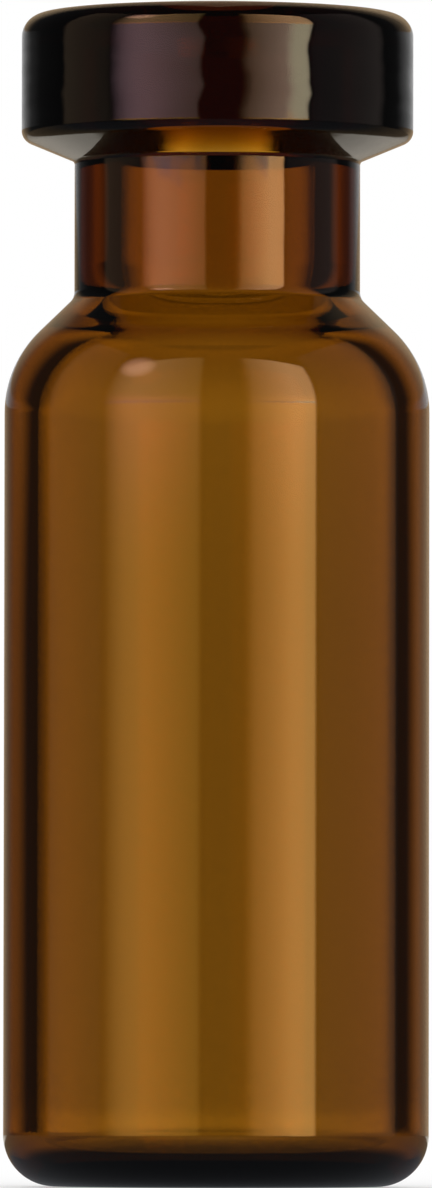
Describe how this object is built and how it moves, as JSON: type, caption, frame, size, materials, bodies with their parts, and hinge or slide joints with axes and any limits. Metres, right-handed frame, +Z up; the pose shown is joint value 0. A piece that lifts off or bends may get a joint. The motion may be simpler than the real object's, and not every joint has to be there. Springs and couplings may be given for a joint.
{
  "type": "glass sample vial",
  "caption": "Amber glass sample vial with a flat base, a straight body, a narrow neck and a thick flanged mouth that takes a crimped cap.",
  "frame": {"origin": "in the middle of the standing plane, on the vial's axis", "axes": "+Z up along the vial's axis, towards the mouth; the vial is a body of revolution, so +X and +Y are free choices"},
  "size_m": [0.0116, 0.0116, 0.032],
  "materials": {
    "amber_glass": "clear fire-polished amber glass"
  },
  "bodies": {
    "root": {"vial": "amber_glass"}
  },
  "joints": []
}
